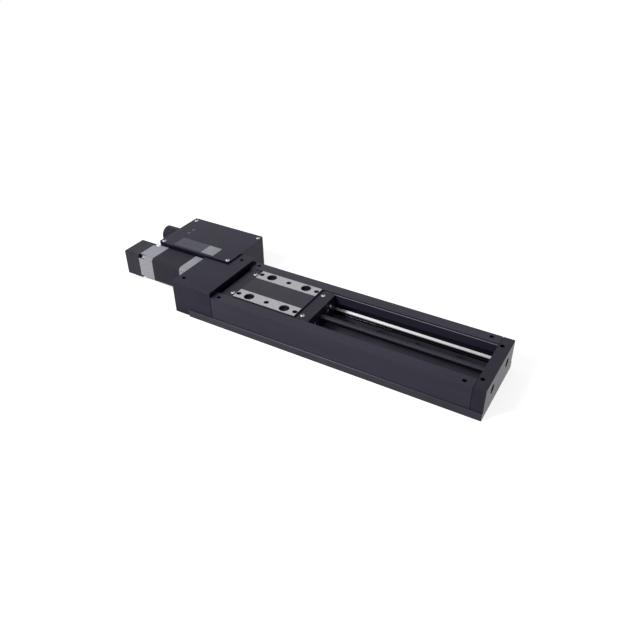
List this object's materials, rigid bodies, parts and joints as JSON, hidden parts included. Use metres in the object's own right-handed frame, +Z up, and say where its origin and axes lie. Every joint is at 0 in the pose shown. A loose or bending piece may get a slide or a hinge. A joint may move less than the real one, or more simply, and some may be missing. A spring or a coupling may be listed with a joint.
{
  "type": "ball screw linear module",
  "caption": "Motorised linear stage: a flat carriage with drilled mounting strips rides inside a U-shaped body on a ball screw, with stepper motor, controller box and hand knob.",
  "frame": {"origin": "centre of the base plate's underside", "axes": "+X from the motor towards the free end block, +Y towards the controller box side, +Z up, out of the carriage's mounting strips"},
  "size_m": [0.5119, 0.1507, 0.048],
  "materials": {
    "black_anodised": "satin black anodised, fine bead-blasted grain",
    "ground_strip": "ground stainless steel",
    "guide_steel": "ground hardened bearing steel",
    "screw_steel": "precision-ground hardened steel",
    "bearing_steel": "ground bearing steel",
    "zinc_screw": "stainless steel, turned head",
    "black_screw": "black oxide on alloy steel",
    "motor_aluminium": "bare die-cast aluminium, machined faces",
    "stator_black": "semi-gloss black paint over laminated steel",
    "black_plastic": "fine-grained moulded black plastic",
    "box_paint": "satin black anodised cast box",
    "label_film": "matte dark blank film",
    "rubber_black": "matte moulded rubber",
    "spider_red": "cast polyurethane",
    "board_green": "solder-masked glass-fibre board",
    "sensor_plastic": "moulded epoxy",
    "window_lens": "frosted light pipe",
    "magnet_nickel": "nickel-plated magnet",
    "connector_nickel": "nickel-plated brass",
    "nipple_steel": "zinc-plated steel",
    "lamination_steel": "laminated electrical steel"
  },
  "bodies": {
    "frame": {"base_plate": "black_anodised", "near_side_wall": "black_anodised", "far_side_wall": "black_anodised", "end_block": "black_anodised", "motor_housing": "black_anodised", "rail_screws": "black_screw", "side_wall_screws": "black_screw", "frame_screws": "black_screw", "near_rail": "guide_steel", "far_rail": "guide_steel", "travel_sensors": "sensor_plastic", "home_bumpers": "rubber_black", "away_bumpers": "rubber_black", "bumper_screws": "black_screw", "fixed_bearing_outer_rings": "bearing_steel", "floating_bearing_outer_ring": "bearing_steel", "bearing_retainer": "black_anodised", "motor_flange": "motor_aluminium", "motor_stator": "stator_black", "motor_rear_bell": "motor_aluminium", "encoder_base": "black_plastic", "encoder_cover": "black_plastic", "motor_screws": "zinc_screw", "motor_bearings": "bearing_steel", "controller_case": "box_paint", "controller_lid": "box_paint", "lid_screws": "zinc_screw", "case_screws": "black_screw", "status_windows": "window_lens", "blank_label": "label_film", "circuit_board": "board_green", "cable_connectors": "connector_nickel", "knob_encoder": "black_plastic"},
    "carriage": {"carriage_plate": "black_anodised", "mounting_strips": "ground_strip", "front_end_cap": "black_anodised", "rear_end_cap": "black_anodised", "cap_top_screws": "zinc_screw", "cap_face_screws": "zinc_screw", "near_bearing_blocks": "guide_steel", "far_bearing_blocks": "guide_steel", "bearing_block_screws": "zinc_screw", "grease_nipple": "nipple_steel", "sensor_magnet": "magnet_nickel", "ball_nut": "screw_steel", "nut_screws": "zinc_screw"},
    "screw": {"ball_screw": "screw_steel", "fixed_bearing_inner_rings": "bearing_steel", "floating_bearing_inner_ring": "bearing_steel", "screw_lock_nut": "bearing_steel", "screw_hub": "black_anodised", "coupling_spider": "spider_red", "motor_hub": "black_anodised", "motor_shaft": "screw_steel", "motor_rotor": "lamination_steel", "encoder_disc": "black_plastic"},
    "plunger": {"switch_plunger": "black_plastic"},
    "knob": {"control_knob": "black_anodised", "knob_shaft": "screw_steel"}
  },
  "joints": [
    {"name": "carriage_slide", "type": "slide", "parent": "frame", "child": "carriage", "axis": [1, 0, 0], "range_m": [0, 0.2]},
    {"name": "screw_spin", "type": "hinge", "parent": "frame", "child": "screw", "pos_m": [0, 0, 0.0246], "axis": [1, 0, 0], "range_deg": [-28800, 0]},
    {"name": "knob_press", "type": "slide", "parent": "frame", "child": "plunger", "axis": [1, 0, 0], "range_m": [0, 0.0005], "stiffness_N_per_m": 6000, "springref_m": -0.0003},
    {"name": "knob_turn", "type": "hinge", "parent": "plunger", "child": "knob", "pos_m": [-0.306, 0.0656, 0.0311], "axis": [1, 0, 0], "continuous": true}
  ],
  "couplings": [
    {"joint": "screw_spin", "follows": "carriage_slide", "rad_per_m": -2513.3}
  ]
}
